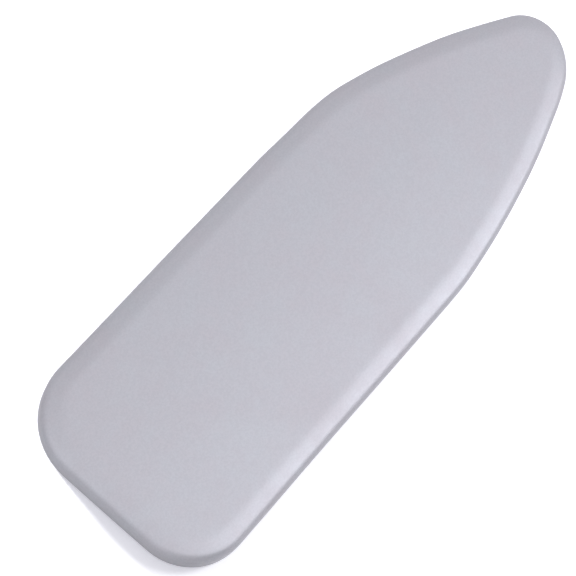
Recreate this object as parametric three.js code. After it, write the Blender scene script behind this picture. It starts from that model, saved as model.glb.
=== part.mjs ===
// A padded ironing board cover in the shape it takes on its board, with the board left out:
// a taut metallised skin over a foam pad and a felt underlay, a gathered lip turned under the
// board's edge, an elastic hem round the opening, and three fastening straps across it.
// Millimetres. +X points to the nose, +Y to the left of someone who faces the nose, +Z up.
// The origin lies on the floor under the middle of the cover.
import * as THREE from 'three';

const rad = THREE.MathUtils.degToRad;

// Outline of the cover, seen from above
const LENGTH = 1216;                 // nose tip to the middle of the tail edge
const WIDTH = 397;                   // across the parallel stretch
const NOSE_RADIUS = 70;
const NOSE_SHIFT = 10;               // the nose tip sits this far to the right of the middle
const TAIL_BOW = rad(0.6);           // half the bow of the tail edge
// Each side leaves the nose on its own curve, so the two shoulders don't lie abreast.
const LEFT_NOSE_SWEEP = rad(61.5);
const LEFT_SHOULDER_SWEEP = rad(19.1);
const LEFT_SHOULDER_RADIUS = 791;
const LEFT_CORNER_RADIUS = 121;      // tail corner
const RIGHT_NOSE_SWEEP = rad(28.6);
const RIGHT_SHOULDER_SWEEP = rad(21.6);
const RIGHT_SHOULDER_RADIUS = 1404;
const RIGHT_CORNER_RADIUS = 104;

// Section of the skin, from the flat top over the rim to the turned-under lip
const HEIGHT = 44;                   // floor to the ironing surface
const CROWN_RADIUS = 170;            // the top eases down towards its rim
const CROWN_SWEEP = rad(10);
const RIM_RADIUS = 15;
const WALL_LEAN = rad(1);            // the side wall draws in below the rim
const FOLD_RADIUS = 5;               // where the wall turns under the board
const FOLD_HEIGHT = 0.8;             // lowest point of the skin above the floor
const LIP_SLOPE = rad(3);

// Layers
const SKIN = 0.8;
const FOAM = 6;
const FELT = 4;
const FOAM_HEM_HEIGHT = 17;          // the foam runs down the side wall to here
const GAP = 0.3;                     // left between pieces that touch

// Lip and opening
const HEM_SIDE = 64;                 // lip width along the two sides
const HEM_TAIL = 68;
const HEM_NOSE = 118;                // deep pocket that takes the nose of the board
const OPENING_NOSE_RADIUS = 34;
const OPENING_CORNER_RADIUS = 62;
const GATHER = 1.5;                  // how far the gathers lift and drop the hem
const LIP_MIDDLE_SHARE = 0.5;        // place of the lip's middle line between fold and hem
const LIP_MIDDLE_RISE_SHARE = 0.65;  // its height between those two
const LIP_MIDDLE_GATHER_SHARE = 0.6;

// Casing of the hem, a binding folded round the skin's edge and the elastic
const CASING_WIDTH = 12;
const CASING_HEIGHT = 4;
const CASING_WALL = 0.8;
const CASING_ROUND = 1.4;
const CASING_LAP = 4;                // how far the skin's edge reaches into the casing

// Straps
const STRAP_PLACE_SHARES = { nose: 0.2, middle: -0.05, tail: -0.3 };
const STRAP_WIDTH = 25;
const STRAP_THICKNESS = 1;
const STRAP_LIFT = 0.2;              // the free webbing clears the floor by this
const ANCHOR_LENGTH = 38;            // webbing end sewn under the hem, turned back on itself
const ANCHOR_TURN_BACK = 30;
const ANCHOR_SLIT = 0.2;
const ROOT_CLEARANCE = 1;            // from the casing to the line the free webbing swings on
const FASTENING = 60;                // length over which the two halves lie on each other
const HOOK_HALF_SHARE = 0.62;        // middle of the fastening between the two roots
const HOOK_THICKNESS = 1;
const LOOP_THICKNESS = 1.2;
const PATCH_MARGIN = 1.5;            // webbing left bare round a patch
const PATCH_CORNER_RADIUS = 3;
// The loop half climbs over the hook half between these shares of its length to the fastening.
const CLIMB_START_SHARE = 0.18;
const CLIMB_END_SHARE = 0.58;

// Steps round each half outline, from the nose tip to the middle of the tail
const STEPS = { nose: 8, taper: 5, shoulder: 4, side: 5, corner: 12, tail: 4 };
// Gathers along the hem on each stretch that bends tightly
const LEFT_GATHERS = { nose: 2, taper: 0, corner: 3 };
const RIGHT_GATHERS = { nose: 1, taper: 1, corner: 3 };
const RIM_STEPS = 3;
const FOLD_STEPS = 2;
const TURN_STEPS = 6;
const PATCH_CORNER_STEPS = 3;

const skinCloth = new THREE.MeshStandardMaterial({ color: 0xc3c3cc, roughness: 0.42, metalness: 0.45 });
const foamRubber = new THREE.MeshStandardMaterial({ color: 0xe9e4d2, roughness: 0.95 });
const needleFelt = new THREE.MeshStandardMaterial({ color: 0xdcdad4, roughness: 1 });
const bindingTape = new THREE.MeshStandardMaterial({ color: 0xaeb0b8, roughness: 0.85 });
const elasticBraid = new THREE.MeshStandardMaterial({ color: 0xf2f2f0, roughness: 0.8 });
const webbing = new THREE.MeshStandardMaterial({ color: 0x8c8e96, roughness: 0.8 });
const hookTape = new THREE.MeshStandardMaterial({ color: 0x6f7179, roughness: 0.7 });
const loopTape = new THREE.MeshStandardMaterial({ color: 0x7b7d85, roughness: 1 });

const cover = new THREE.Group();
cover.name = 'ironing_board_cover';

// One side of an outline: arcs and one straight, each tangent to the next. The taper's radius
// and the straight's length follow from the other sizes.
function halfOutline(plan, side) {
  const stations = [];
  const taperEnd = Math.PI / 2 - side.shoulderSweep;
  const spread = side.halfWidth - plan.noseRadius * Math.sin(side.noseSweep)
    - side.shoulderRadius * (1 - Math.sin(taperEnd));
  const taperRadius = spread / (Math.sin(taperEnd) - Math.sin(side.noseSweep));
  const nose = plan.noseRadius * (1 - Math.cos(side.noseSweep))
    + taperRadius * (Math.cos(side.noseSweep) - Math.cos(taperEnd))
    + side.shoulderRadius * Math.cos(taperEnd);
  const tailHalf = side.halfWidth - side.cornerRadius * (1 - Math.sin(TAIL_BOW));
  const tailRadius = tailHalf / Math.sin(TAIL_BOW);
  const tail = side.cornerRadius * Math.cos(TAIL_BOW) + tailRadius * (1 - Math.cos(TAIL_BOW));

  let x = 0;
  let y = 0;
  let heading = Math.PI / 2;
  const mark = (gather) => stations.push({ x, y, heading, gather });
  const arc = (radius, sweep, steps, gathers) => {
    const turn = sweep / steps;
    const chord = 2 * radius * Math.sin(turn / 2);
    for (let step = 1; step <= steps; step++) {
      x += chord * Math.cos(heading + turn / 2);
      y += chord * Math.sin(heading + turn / 2);
      heading += turn;
      mark(Math.sin(2 * Math.PI * gathers * step / steps));
    }
  };
  const straight = (length, steps) => {
    for (let step = 1; step <= steps; step++) {
      x -= length / steps;
      mark(0);
    }
  };
  mark(0);
  arc(plan.noseRadius, side.noseSweep, STEPS.nose, side.gathers.nose);
  arc(taperRadius, taperEnd - side.noseSweep, STEPS.taper, side.gathers.taper);
  arc(side.shoulderRadius, side.shoulderSweep, STEPS.shoulder, 0);
  straight(plan.length - nose - tail, STEPS.side);
  arc(side.cornerRadius, Math.PI / 2 - TAIL_BOW, STEPS.corner, side.gathers.corner);
  arc(tailRadius, TAIL_BOW, STEPS.tail, 0);
  return stations;
}

// The whole outline, counter-clockwise from the nose tip, with its outward normals
function outline(plan) {
  const place = ({ x, y, heading, gather }, hand) => ({
    x: plan.noseX + x,
    y: -NOSE_SHIFT + hand * y,
    nx: Math.sin(heading),
    ny: -hand * Math.cos(heading),
    gather: hand * gather,
  });
  const left = halfOutline(plan, plan.left).map((station) => place(station, 1));
  const right = halfOutline(plan, plan.right).map((station) => place(station, -1));
  return [...left, ...right.slice(1, -1).reverse()];
}

const coverPlan = {
  noseX: LENGTH / 2,
  length: LENGTH,
  noseRadius: NOSE_RADIUS,
  left: {
    halfWidth: WIDTH / 2 + NOSE_SHIFT,
    noseSweep: LEFT_NOSE_SWEEP,
    shoulderSweep: LEFT_SHOULDER_SWEEP,
    shoulderRadius: LEFT_SHOULDER_RADIUS,
    cornerRadius: LEFT_CORNER_RADIUS,
    gathers: LEFT_GATHERS,
  },
  right: {
    halfWidth: WIDTH / 2 - NOSE_SHIFT,
    noseSweep: RIGHT_NOSE_SWEEP,
    shoulderSweep: RIGHT_SHOULDER_SWEEP,
    shoulderRadius: RIGHT_SHOULDER_RADIUS,
    cornerRadius: RIGHT_CORNER_RADIUS,
    gathers: RIGHT_GATHERS,
  },
};
const narrowed = (side) => ({
  ...side,
  halfWidth: side.halfWidth - HEM_SIDE,
  shoulderRadius: side.shoulderRadius - HEM_SIDE,
  cornerRadius: OPENING_CORNER_RADIUS,
});
const openingPlan = {
  noseX: LENGTH / 2 - HEM_NOSE,
  length: LENGTH - HEM_NOSE - HEM_TAIL,
  noseRadius: OPENING_NOSE_RADIUS,
  left: narrowed(coverPlan.left),
  right: narrowed(coverPlan.right),
};
const coverOutline = outline(coverPlan);
const openingOutline = outline(openingPlan);

// A closed ring that runs parallel to an outline, `inset` inside it
function ring(path, inset, height, gather = 0) {
  return path.map((p) => new THREE.Vector3(
    p.x - inset * p.nx,
    p.y - inset * p.ny,
    height + gather * p.gather,
  ));
}

const between = (ringA, ringB, share) => ringA.map((p, i) => p.clone().lerp(ringB[i], share));

function solid(positions, triangles) {
  const geometry = new THREE.BufferGeometry();
  const flat = positions.flatMap((p) => [p.x, p.y, p.z]);
  geometry.setAttribute('position', new THREE.Float32BufferAttribute(flat, 3));
  geometry.setIndex(triangles);
  geometry.computeVertexNormals();
  return geometry;
}

// Skins the rings in their order. An open stack gets a cap across its first and last ring;
// a closed one joins its last ring to its first.
function loft(rings, closed = false) {
  const count = rings[0].length;
  const triangles = [];
  const bands = closed ? rings.length : rings.length - 1;
  for (let band = 0; band < bands; band++) {
    const upper = band * count;
    const lower = ((band + 1) % rings.length) * count;
    for (let i = 0; i < count; i++) {
      const next = (i + 1) % count;
      triangles.push(upper + i, lower + i, lower + next, upper + i, lower + next, upper + next);
    }
  }
  if (!closed) {
    const last = (rings.length - 1) * count;
    // straight rows across the cap, from each left-hand point to the right-hand one abreast
    for (let i = 0; i < count / 2; i++) {
      const across = [i, i + 1, count - i - 1, (count - i) % count];
      const [a, b, c, d] = across;
      if (b !== c) {
        triangles.push(a, b, c);
        triangles.push(last + a, last + c, last + b);
      }
      if (a !== d) {
        triangles.push(a, c, d);
        triangles.push(last + a, last + d, last + c);
      }
    }
  }
  return solid(rings.flat(), triangles);
}

// The section, as places along the skin's outer face. `angle` is how far its outward normal
// points above the horizontal, so a layer deeper in is found by stepping in along it.
function sectionStations() {
  const rimTop = Math.PI / 2 - CROWN_SWEEP;
  const rimCentre = HEIGHT - CROWN_RADIUS * (1 - Math.cos(CROWN_SWEEP)) - RIM_RADIUS * Math.sin(rimTop);
  const onRim = (angle) => ({
    inset: RIM_RADIUS * (1 - Math.cos(angle)),
    height: rimCentre + RIM_RADIUS * Math.sin(angle),
    angle,
  });
  const rim = [];
  for (let step = 0; step <= RIM_STEPS; step++) {
    rim.push(onRim(rimTop - (rimTop + WALL_LEAN) * step / RIM_STEPS));
  }
  const plateau = {
    inset: rim[0].inset + CROWN_RADIUS * Math.sin(CROWN_SWEEP),
    height: HEIGHT,
    angle: Math.PI / 2,
  };
  const wallTop = rim[RIM_STEPS];
  const onWall = (height) => ({
    inset: wallTop.inset + (wallTop.height - height) * Math.tan(WALL_LEAN),
    height,
    angle: -WALL_LEAN,
  });
  const foldCentre = FOLD_HEIGHT + FOLD_RADIUS;
  const wallFoot = onWall(foldCentre - FOLD_RADIUS * Math.sin(WALL_LEAN));
  const fold = [];
  const foldSweep = Math.PI / 2 - WALL_LEAN - LIP_SLOPE;
  for (let step = 1; step <= FOLD_STEPS; step++) {
    const angle = -WALL_LEAN - foldSweep * step / FOLD_STEPS;
    fold.push({
      inset: wallFoot.inset + FOLD_RADIUS * (Math.cos(WALL_LEAN) - Math.cos(angle)),
      height: foldCentre + FOLD_RADIUS * Math.sin(angle),
      angle,
    });
  }
  return { plateau, rim, rimCentre, onWall, wallFoot, fold };
}
const section = sectionStations();

// The ring of one place of the section, `depth` under the skin's outer face
const layerRing = (station, depth) => ring(
  coverOutline,
  station.inset + depth * Math.cos(station.angle),
  station.height - depth * Math.sin(station.angle),
);

// The straps' sewn ends are the lowest pieces, and the hem lies on them.
const anchorHeight = 2 * STRAP_THICKNESS + ANCHOR_SLIT;
const hemHeight = anchorHeight + GAP + CASING_HEIGHT / 2;

function makeSkin() {
  const outer = [section.plateau, ...section.rim, section.wallFoot, ...section.fold];
  const face = (depth) => {
    const rings = outer.map((station) => layerRing(station, depth));
    const foldRing = rings[rings.length - 1];
    const hemLevel = hemHeight - SKIN / 2 + depth;
    const casingMouth = ring(openingOutline, -CASING_LAP - GAP, hemLevel, GATHER);
    const hem = ring(openingOutline, 0, hemLevel, GATHER);
    const middle = between(foldRing, casingMouth, LIP_MIDDLE_SHARE);
    middle.forEach((p, i) => {
      p.z = foldRing[i].z + (hemLevel - foldRing[i].z) * LIP_MIDDLE_RISE_SHARE
        + GATHER * LIP_MIDDLE_GATHER_SHARE * openingOutline[i].gather;
    });
    return [...rings, middle, casingMouth, hem];
  };
  return loft([...face(0), ...face(SKIN).reverse()]);
}

function makeFoam() {
  const stations = [section.plateau, ...section.rim, section.onWall(FOAM_HEM_HEIGHT)];
  const top = SKIN + GAP;
  const face = (depth) => stations.map((station) => layerRing(station, depth));
  return loft([...face(top), ...face(top + FOAM).reverse()]);
}

// The felt lies flat on the board. Its top follows the foam, so it thins towards its edge.
function makeFelt() {
  const top = SKIN + GAP + FOAM + GAP;
  const underside = HEIGHT - top - FELT;
  const edgeRadius = RIM_RADIUS - top;
  const edgeAngle = Math.asin((underside - section.rimCentre) / edgeRadius);
  const edge = ring(coverOutline, RIM_RADIUS - edgeRadius * Math.cos(edgeAngle), underside);
  const plateau = layerRing(section.plateau, top);
  const rimStart = layerRing(section.rim[0], top);
  const flat = ring(coverOutline, section.plateau.inset, underside);
  return loft([plateau, rimStart, edge, flat]);
}

// Carries a section round the opening. Its points are [inset, height above the hem's line].
const roundTheOpening = (profile) => loft(
  profile.map(([inset, rise]) => ring(openingOutline, inset, hemHeight + rise, GATHER)),
  true,
);

function makeCasing() {
  const half = CASING_HEIGHT / 2;
  const slot = half - CASING_WALL;
  const reach = CASING_WIDTH - CASING_LAP;
  return roundTheOpening([
    [-CASING_LAP, -half],
    [reach - CASING_ROUND, -half],
    [reach, CASING_ROUND - half],
    [reach, half - CASING_ROUND],
    [reach - CASING_ROUND, half],
    [-CASING_LAP, half],
    [-CASING_LAP, slot],
    [reach - CASING_WALL, slot],
    [reach - CASING_WALL, -slot],
    [-CASING_LAP, -slot],
  ]);
}

function makeElastic() {
  const half = CASING_HEIGHT / 2 - CASING_WALL - GAP;
  const near = GAP;
  const far = CASING_WIDTH - CASING_LAP - CASING_WALL - GAP;
  return roundTheOpening([[near, -half], [far, -half], [far, half], [near, half]]);
}

// How far from the middle line the casing's inner edge comes nearest to it, over the width of a
// strap at x. `hand` is 1 for the left edge and -1 for the right one.
function hemEdge(x, hand) {
  const edge = ring(openingOutline, CASING_WIDTH - CASING_LAP, 0);
  const samples = [x - STRAP_WIDTH / 2, x, x + STRAP_WIDTH / 2].map((at) => {
    const crossings = edge.flatMap((a, i) => {
      const b = edge[(i + 1) % edge.length];
      const spans = (a.x - at) * (b.x - at) <= 0 && a.x !== b.x;
      return spans ? [a.y + (b.y - a.y) * (at - a.x) / (b.x - a.x)] : [];
    });
    return hand > 0 ? Math.max(...crossings) : -Math.min(...crossings);
  });
  return Math.min(...samples);
}

// A strip of webbing seen from its edge: a centre line in (along, height), given a thickness
function strip(centreLine) {
  const faces = [1, -1].map((side) => centreLine.map((p, i) => {
    const before = centreLine[Math.max(i - 1, 0)];
    const after = centreLine[Math.min(i + 1, centreLine.length - 1)];
    const along = after.clone().sub(before).normalize();
    return new THREE.Vector2(-along.y, along.x).multiplyScalar(side * STRAP_THICKNESS / 2).add(p);
  }));
  const shape = new THREE.Shape([...faces[1], ...faces[0].reverse()]);
  const geometry = new THREE.ExtrudeGeometry(shape, { depth: STRAP_WIDTH, bevelEnabled: false });
  geometry.translate(0, 0, -STRAP_WIDTH / 2);
  geometry.applyMatrix4(new THREE.Matrix4().makeBasis(
    new THREE.Vector3(0, 1, 0),
    new THREE.Vector3(0, 0, 1),
    new THREE.Vector3(1, 0, 0),
  ));
  return geometry;
}

// A sewn end: the webbing lies flat under the hem and turns back over itself
function makeAnchor() {
  const low = STRAP_THICKNESS / 2;
  const turnRadius = (STRAP_THICKNESS + ANCHOR_SLIT) / 2;
  const turnPlace = -ANCHOR_LENGTH + turnRadius + STRAP_THICKNESS / 2;
  const line = [new THREE.Vector2(-GAP, low)];
  for (let step = 0; step <= TURN_STEPS; step++) {
    const angle = -Math.PI / 2 - Math.PI * step / TURN_STEPS;
    line.push(new THREE.Vector2(
      turnPlace + turnRadius * Math.cos(angle),
      low + turnRadius * (1 + Math.sin(angle)),
    ));
  }
  line.push(new THREE.Vector2(turnPlace + ANCHOR_TURN_BACK, low + 2 * turnRadius));
  return strip(line);
}

// A rounded patch of hook or loop tape, from `start` to `end` along the strap
function makePatch(start, end, underside, thickness) {
  const half = STRAP_WIDTH / 2 - PATCH_MARGIN;
  const r = PATCH_CORNER_RADIUS;
  const shape = new THREE.Shape();
  shape.absarc(half - r, start + r, r, -Math.PI / 2, 0);
  shape.absarc(half - r, end - r, r, 0, Math.PI / 2);
  shape.absarc(r - half, end - r, r, Math.PI / 2, Math.PI);
  shape.absarc(r - half, start + r, r, Math.PI, 1.5 * Math.PI);
  const points = shape.extractPoints(PATCH_CORNER_STEPS).shape;
  const outlineShape = new THREE.Shape(points);
  const geometry = new THREE.ExtrudeGeometry(outlineShape, { depth: thickness, bevelEnabled: false });
  geometry.translate(0, 0, underside);
  return geometry;
}

const freeLevel = STRAP_LIFT + STRAP_THICKNESS / 2;
const hookUnderside = STRAP_LIFT + STRAP_THICKNESS + GAP;
const loopUnderside = hookUnderside + HOOK_THICKNESS + GAP;
const loopWebbingLevel = loopUnderside + LOOP_THICKNESS + GAP + STRAP_THICKNESS / 2;

const add = (parent, name, geometry, material) => {
  const mesh = new THREE.Mesh(geometry, material);
  mesh.name = name;
  parent.add(mesh);
};

// One half of a strap, drawn from the line it swings on (y = 0) towards the middle
function makeHookHalf(half, name, length) {
  add(half, `${name}_hook_anchor`, makeAnchor(), webbing);
  const line = [new THREE.Vector2(0, freeLevel), new THREE.Vector2(length, freeLevel)];
  add(half, `${name}_hook_webbing`, strip(line), webbing);
  const patch = makePatch(length - FASTENING + PATCH_MARGIN, length - PATCH_MARGIN,
    hookUnderside, HOOK_THICKNESS);
  add(half, `${name}_hook_patch`, patch, hookTape);
}

function makeLoopHalf(half, name, length) {
  add(half, `${name}_loop_anchor`, makeAnchor(), webbing);
  const free = length - FASTENING;
  const line = [
    new THREE.Vector2(0, freeLevel),
    new THREE.Vector2(free * CLIMB_START_SHARE, freeLevel),
    new THREE.Vector2(free * CLIMB_END_SHARE, loopWebbingLevel),
    new THREE.Vector2(length, loopWebbingLevel),
  ];
  add(half, `${name}_loop_webbing`, strip(line), webbing);
  const patch = makePatch(length - FASTENING + PATCH_MARGIN, length - PATCH_MARGIN,
    loopUnderside, LOOP_THICKNESS);
  add(half, `${name}_loop_patch`, patch, loopTape);
}

function makeStrap(name, place) {
  const hookRoot = -(hemEdge(place, -1) - ROOT_CLEARANCE);
  const loopRoot = hemEdge(place, 1) - ROOT_CLEARANCE;
  const span = loopRoot - hookRoot;
  const hookHalf = new THREE.Group();
  hookHalf.position.set(place, hookRoot, 0);
  makeHookHalf(hookHalf, name, span * HOOK_HALF_SHARE + FASTENING / 2);
  const loopHalf = new THREE.Group();
  loopHalf.position.set(place, loopRoot, 0);
  loopHalf.rotation.z = Math.PI;
  makeLoopHalf(loopHalf, name, span * (1 - HOOK_HALF_SHARE) + FASTENING / 2);
  cover.add(hookHalf, loopHalf);
}

add(cover, 'cover_fabric', makeSkin(), skinCloth);
add(cover, 'foam_pad', makeFoam(), foamRubber);
add(cover, 'felt_underlay', makeFelt(), needleFelt);
add(cover, 'hem_casing', makeCasing(), bindingTape);
add(cover, 'hem_elastic', makeElastic(), elasticBraid);
for (const [name, share] of Object.entries(STRAP_PLACE_SHARES)) {
  makeStrap(`${name}_strap`, share * LENGTH);
}

export default cover;
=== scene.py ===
"""Ironing board cover in the shape it takes on its board: a satin metallised skin over a foam pad
and a felt underlay, a gathered lip in a stitched binding, and three hook-and-loop straps.
Metres. +X points to the nose, +Y to the left, +Z up, and the floor lies at z = 0."""
import math
from types import SimpleNamespace

import bpy
import numpy as np
from mathutils import Matrix, Vector, noise


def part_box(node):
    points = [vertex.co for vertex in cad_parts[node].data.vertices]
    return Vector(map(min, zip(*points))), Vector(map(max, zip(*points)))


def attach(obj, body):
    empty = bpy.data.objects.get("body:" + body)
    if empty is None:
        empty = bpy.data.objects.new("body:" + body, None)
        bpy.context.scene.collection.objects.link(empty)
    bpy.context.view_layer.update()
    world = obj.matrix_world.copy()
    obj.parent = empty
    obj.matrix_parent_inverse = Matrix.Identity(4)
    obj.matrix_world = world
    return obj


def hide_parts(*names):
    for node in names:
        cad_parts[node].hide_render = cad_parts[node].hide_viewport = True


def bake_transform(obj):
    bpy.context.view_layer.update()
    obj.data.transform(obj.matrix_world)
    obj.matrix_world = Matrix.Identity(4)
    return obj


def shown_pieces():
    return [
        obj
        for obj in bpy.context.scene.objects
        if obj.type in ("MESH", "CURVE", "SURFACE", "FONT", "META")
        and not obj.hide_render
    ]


MM = 0.001
TURN = 2 * math.pi
QUARTER = math.pi / 2
rad = math.radians

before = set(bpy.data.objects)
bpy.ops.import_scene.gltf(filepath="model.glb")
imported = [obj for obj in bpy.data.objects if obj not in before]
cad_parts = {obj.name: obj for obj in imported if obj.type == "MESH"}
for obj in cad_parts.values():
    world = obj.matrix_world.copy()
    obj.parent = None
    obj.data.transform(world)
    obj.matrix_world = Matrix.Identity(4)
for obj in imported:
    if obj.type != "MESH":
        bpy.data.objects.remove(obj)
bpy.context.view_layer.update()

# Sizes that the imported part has
LENGTH = 1216 * MM
WIDTH = 397 * MM
NOSE_SHIFT = 10 * MM
NOSE_RADIUS = 70 * MM
TAIL_BOW = rad(0.6)
HEIGHT = 44 * MM
WALL_LEAN = rad(1)
FOLD_RADIUS = 5 * MM
FOLD_HEIGHT = 0.8 * MM
LIP_SLOPE = rad(3)
SKIN = 0.8 * MM
FOAM = 6 * MM
FELT = 4 * MM
FOAM_HEM_HEIGHT = 17 * MM
GAP = 0.3 * MM
HEM_SIDE = 64 * MM
HEM_TAIL = 68 * MM
HEM_NOSE = 118 * MM
OPENING_NOSE_RADIUS = 34 * MM
OPENING_CORNER_RADIUS = 62 * MM
GATHER = 1.5 * MM
CASING_WIDTH = 12 * MM
CASING_HEIGHT = 4 * MM
CASING_WALL = 0.8 * MM
CASING_LAP = 4 * MM
HEM_HEIGHT = 4.5 * MM
ANCHOR_LENGTH = 38 * MM
ANCHOR_TURN_BACK = 30 * MM
FASTENING = 60 * MM
CLIMB_START_SHARE = 0.18
CLIMB_END_SHARE = 0.58

# The padded edge, from the flat top outwards: the radius of each arc, the tilt that it ends at,
# and its steps. It has more arcs than the solid's two, for the softer run of a pad.
EDGE_ARCS = ((170 * MM, rad(2), 2), (90 * MM, rad(8), 5), (190 * MM, rad(12), 3),
             (15 * MM, rad(90) + WALL_LEAN, 12))

# The two sides of the outline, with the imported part's arcs. Their pulls are places where the
# stretched cloth lies off these arcs, in mm: place towards the nose, reach, amount outwards.
LEFT = SimpleNamespace(
    half_width=WIDTH / 2 + NOSE_SHIFT, nose_sweep=rad(61.5), shoulder_sweep=rad(19.1),
    shoulder_radius=791 * MM, corner_radius=121 * MM, gathers={"nose": 2, "corner": 3},
    pulls=((455, 35, 1.2), (220, 30, 1.5), (104, 36, -2.6), (-215, 80, 0.5)))
RIGHT = SimpleNamespace(
    half_width=WIDTH / 2 - NOSE_SHIFT, nose_sweep=rad(28.6), shoulder_sweep=rad(21.6),
    shoulder_radius=1404 * MM, corner_radius=104 * MM,
    gathers={"nose": 1, "taper": 1, "corner": 3},
    pulls=((508, 28, 1.6), (290, 55, -1.1), (108, 34, 1.6), (-290, 90, -0.8)))


def narrowed(side):
    """The same side of the opening, a lip's width further in."""
    return SimpleNamespace(**{**vars(side), "half_width": side.half_width - HEM_SIDE,
                              "shoulder_radius": side.shoulder_radius - HEM_SIDE,
                              "corner_radius": OPENING_CORNER_RADIUS, "pulls": ()})


COVER_PLAN = SimpleNamespace(
    nose_x=LENGTH / 2, length=LENGTH, nose_radius=NOSE_RADIUS, left=LEFT, right=RIGHT)
OPENING_PLAN = SimpleNamespace(
    nose_x=LENGTH / 2 - HEM_NOSE, length=LENGTH - HEM_NOSE - HEM_TAIL,
    nose_radius=OPENING_NOSE_RADIUS, left=narrowed(LEFT), right=narrowed(RIGHT))

# Steps round each half outline, from the nose tip to the middle of the tail
STEPS = {"nose": 24, "taper": 84, "shoulder": 92, "side": 96, "corner": 56, "tail": 30}
# How strongly the hem bunches on each stretch
BUNCHING = {"nose": 1.0, "taper": 0.22, "shoulder": 0.1, "side": 0.08, "corner": 0.85, "tail": 0.16}


# Outline and section

def half_outline(plan, side):
    """Stations along one side, as rows of x, y, heading, gather and bunching: arcs and one
    straight, each tangent to the next."""
    taper_end = QUARTER - side.shoulder_sweep
    spread = (side.half_width - plan.nose_radius * math.sin(side.nose_sweep)
              - side.shoulder_radius * (1 - math.sin(taper_end)))
    taper_radius = spread / (math.sin(taper_end) - math.sin(side.nose_sweep))
    nose = (plan.nose_radius * (1 - math.cos(side.nose_sweep))
            + taper_radius * (math.cos(side.nose_sweep) - math.cos(taper_end))
            + side.shoulder_radius * math.cos(taper_end))
    tail_half = side.half_width - side.corner_radius * (1 - math.sin(TAIL_BOW))
    tail_radius = tail_half / math.sin(TAIL_BOW)
    tail = side.corner_radius * math.cos(TAIL_BOW) + tail_radius * (1 - math.cos(TAIL_BOW))
    stretches = {
        "nose": (plan.nose_radius, side.nose_sweep),
        "taper": (taper_radius, taper_end - side.nose_sweep),
        "shoulder": (side.shoulder_radius, side.shoulder_sweep),
        "side": (None, plan.length - nose - tail),
        "corner": (side.corner_radius, QUARTER - TAIL_BOW),
        "tail": (tail_radius, TAIL_BOW),
    }
    x = y = 0.0
    heading = QUARTER
    rows = [(x, y, heading, 0.0, BUNCHING["nose"])]
    for name, (radius, sweep) in stretches.items():
        steps = STEPS[name]
        turn = sweep / steps if radius else 0.0
        chord = 2 * radius * math.sin(turn / 2) if radius else sweep / steps
        for step in range(1, steps + 1):
            x += chord * math.cos(heading + turn / 2)
            y += chord * math.sin(heading + turn / 2)
            heading += turn
            gather = math.sin(TURN * side.gathers.get(name, 0) * step / steps)
            rows.append((x, y, heading, gather, BUNCHING[name]))
    return np.array(rows)


def pulled(x, pulls):
    """How far the pulls bring the cloth outwards at each place, and how steeply that changes."""
    out, slope = np.zeros_like(x), np.zeros_like(x)
    for place, reach, amount in pulls:
        off = (x - place * MM) / (reach * MM)
        bump = amount * MM * np.exp(-off ** 2 / 2)
        out += bump
        slope -= bump * off / (reach * MM)
    return out, slope


def outline(plan):
    """The whole outline, counter-clockwise from the nose tip, with its outward normals."""
    def placed(side, hand):
        x, y, heading, gather, bunching = half_outline(plan, side).T
        out, slope = pulled(plan.nose_x + x, side.pulls)
        x = plan.nose_x + x + out * np.sin(heading)
        y = y - out * np.cos(heading)
        heading = heading - np.arctan(slope * np.cos(heading))
        return np.stack([x, -NOSE_SHIFT + hand * y, np.sin(heading),
                         -hand * np.cos(heading), hand * gather, bunching], axis=1)

    left, right = placed(plan.left, 1), placed(plan.right, -1)
    rows = np.concatenate([left, right[1:-1][::-1]])
    return SimpleNamespace(at=rows[:, :2], normal=rows[:, 2:4], gather=rows[:, 4],
                           bunching=rows[:, 5])


cover_line = outline(COVER_PLAN)
opening_line = outline(OPENING_PLAN)
COUNT = len(cover_line.at)


def eased(value, low, high):
    """0 below `low`, 1 above `high`, and a smooth change between them."""
    t = np.clip((value - low) / (high - low), 0, 1)
    return t * t * (3 - 2 * t)


def ring(line, inset, height):
    """A closed ring parallel to an outline; `height` is one number or one per station."""
    flat = line.at - inset * line.normal
    return np.column_stack([flat, np.broadcast_to(height, COUNT)])


def section_line(wall_steps=4, fold_steps=8):
    """Places down the skin's outer face, from the flat top to where the lip begins, as inset,
    height and the angle of the outward normal above the horizontal."""
    out, height, tilt, widest = 0.0, HEIGHT, 0.0, 0.0
    places = [(out, height, tilt)]
    for radius, end, steps in EDGE_ARCS:
        places += [(out + radius * (math.sin(t) - math.sin(tilt)),
                    height - radius * (math.cos(tilt) - math.cos(t)), t)
                   for t in np.linspace(tilt, end, steps + 1)[1:]]
        widest = out + radius * (1 - math.sin(tilt))
        out, height, tilt = places[-1]
    upper = [(widest - out, height, QUARTER - tilt) for out, height, tilt in places]
    wall_inset, wall_top, _ = upper[-1]
    fold_centre = FOLD_HEIGHT + FOLD_RADIUS
    wall_foot = fold_centre - FOLD_RADIUS * math.sin(WALL_LEAN)
    wall = [(wall_inset + (wall_top - z) * math.tan(WALL_LEAN), z, -WALL_LEAN)
            for z in np.linspace(wall_top, wall_foot, wall_steps + 1)]
    foot_inset = wall[-1][0]
    fold = [(foot_inset + FOLD_RADIUS * (math.cos(WALL_LEAN) - math.cos(a)),
             fold_centre + FOLD_RADIUS * math.sin(a), a)
            for a in np.linspace(-WALL_LEAN, LIP_SLOPE - QUARTER, fold_steps + 1)]
    return np.array(upper + wall[1:] + fold[1:])


SECTION = section_line()
PLATEAU_INSET = SECTION[0, 0]


# How far each seed moves on through the noise
SEED_STEPS = (3.7, 1.3, 5.1)


def perlin(points, scale, seed):
    """Smooth noise from -1 to 1 at each point, for features about `scale` wide."""
    offset = Vector([seed * step for step in SEED_STEPS])
    return np.array([noise.noise(Vector(p) / scale + offset) for p in points])


# Meshes

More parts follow.
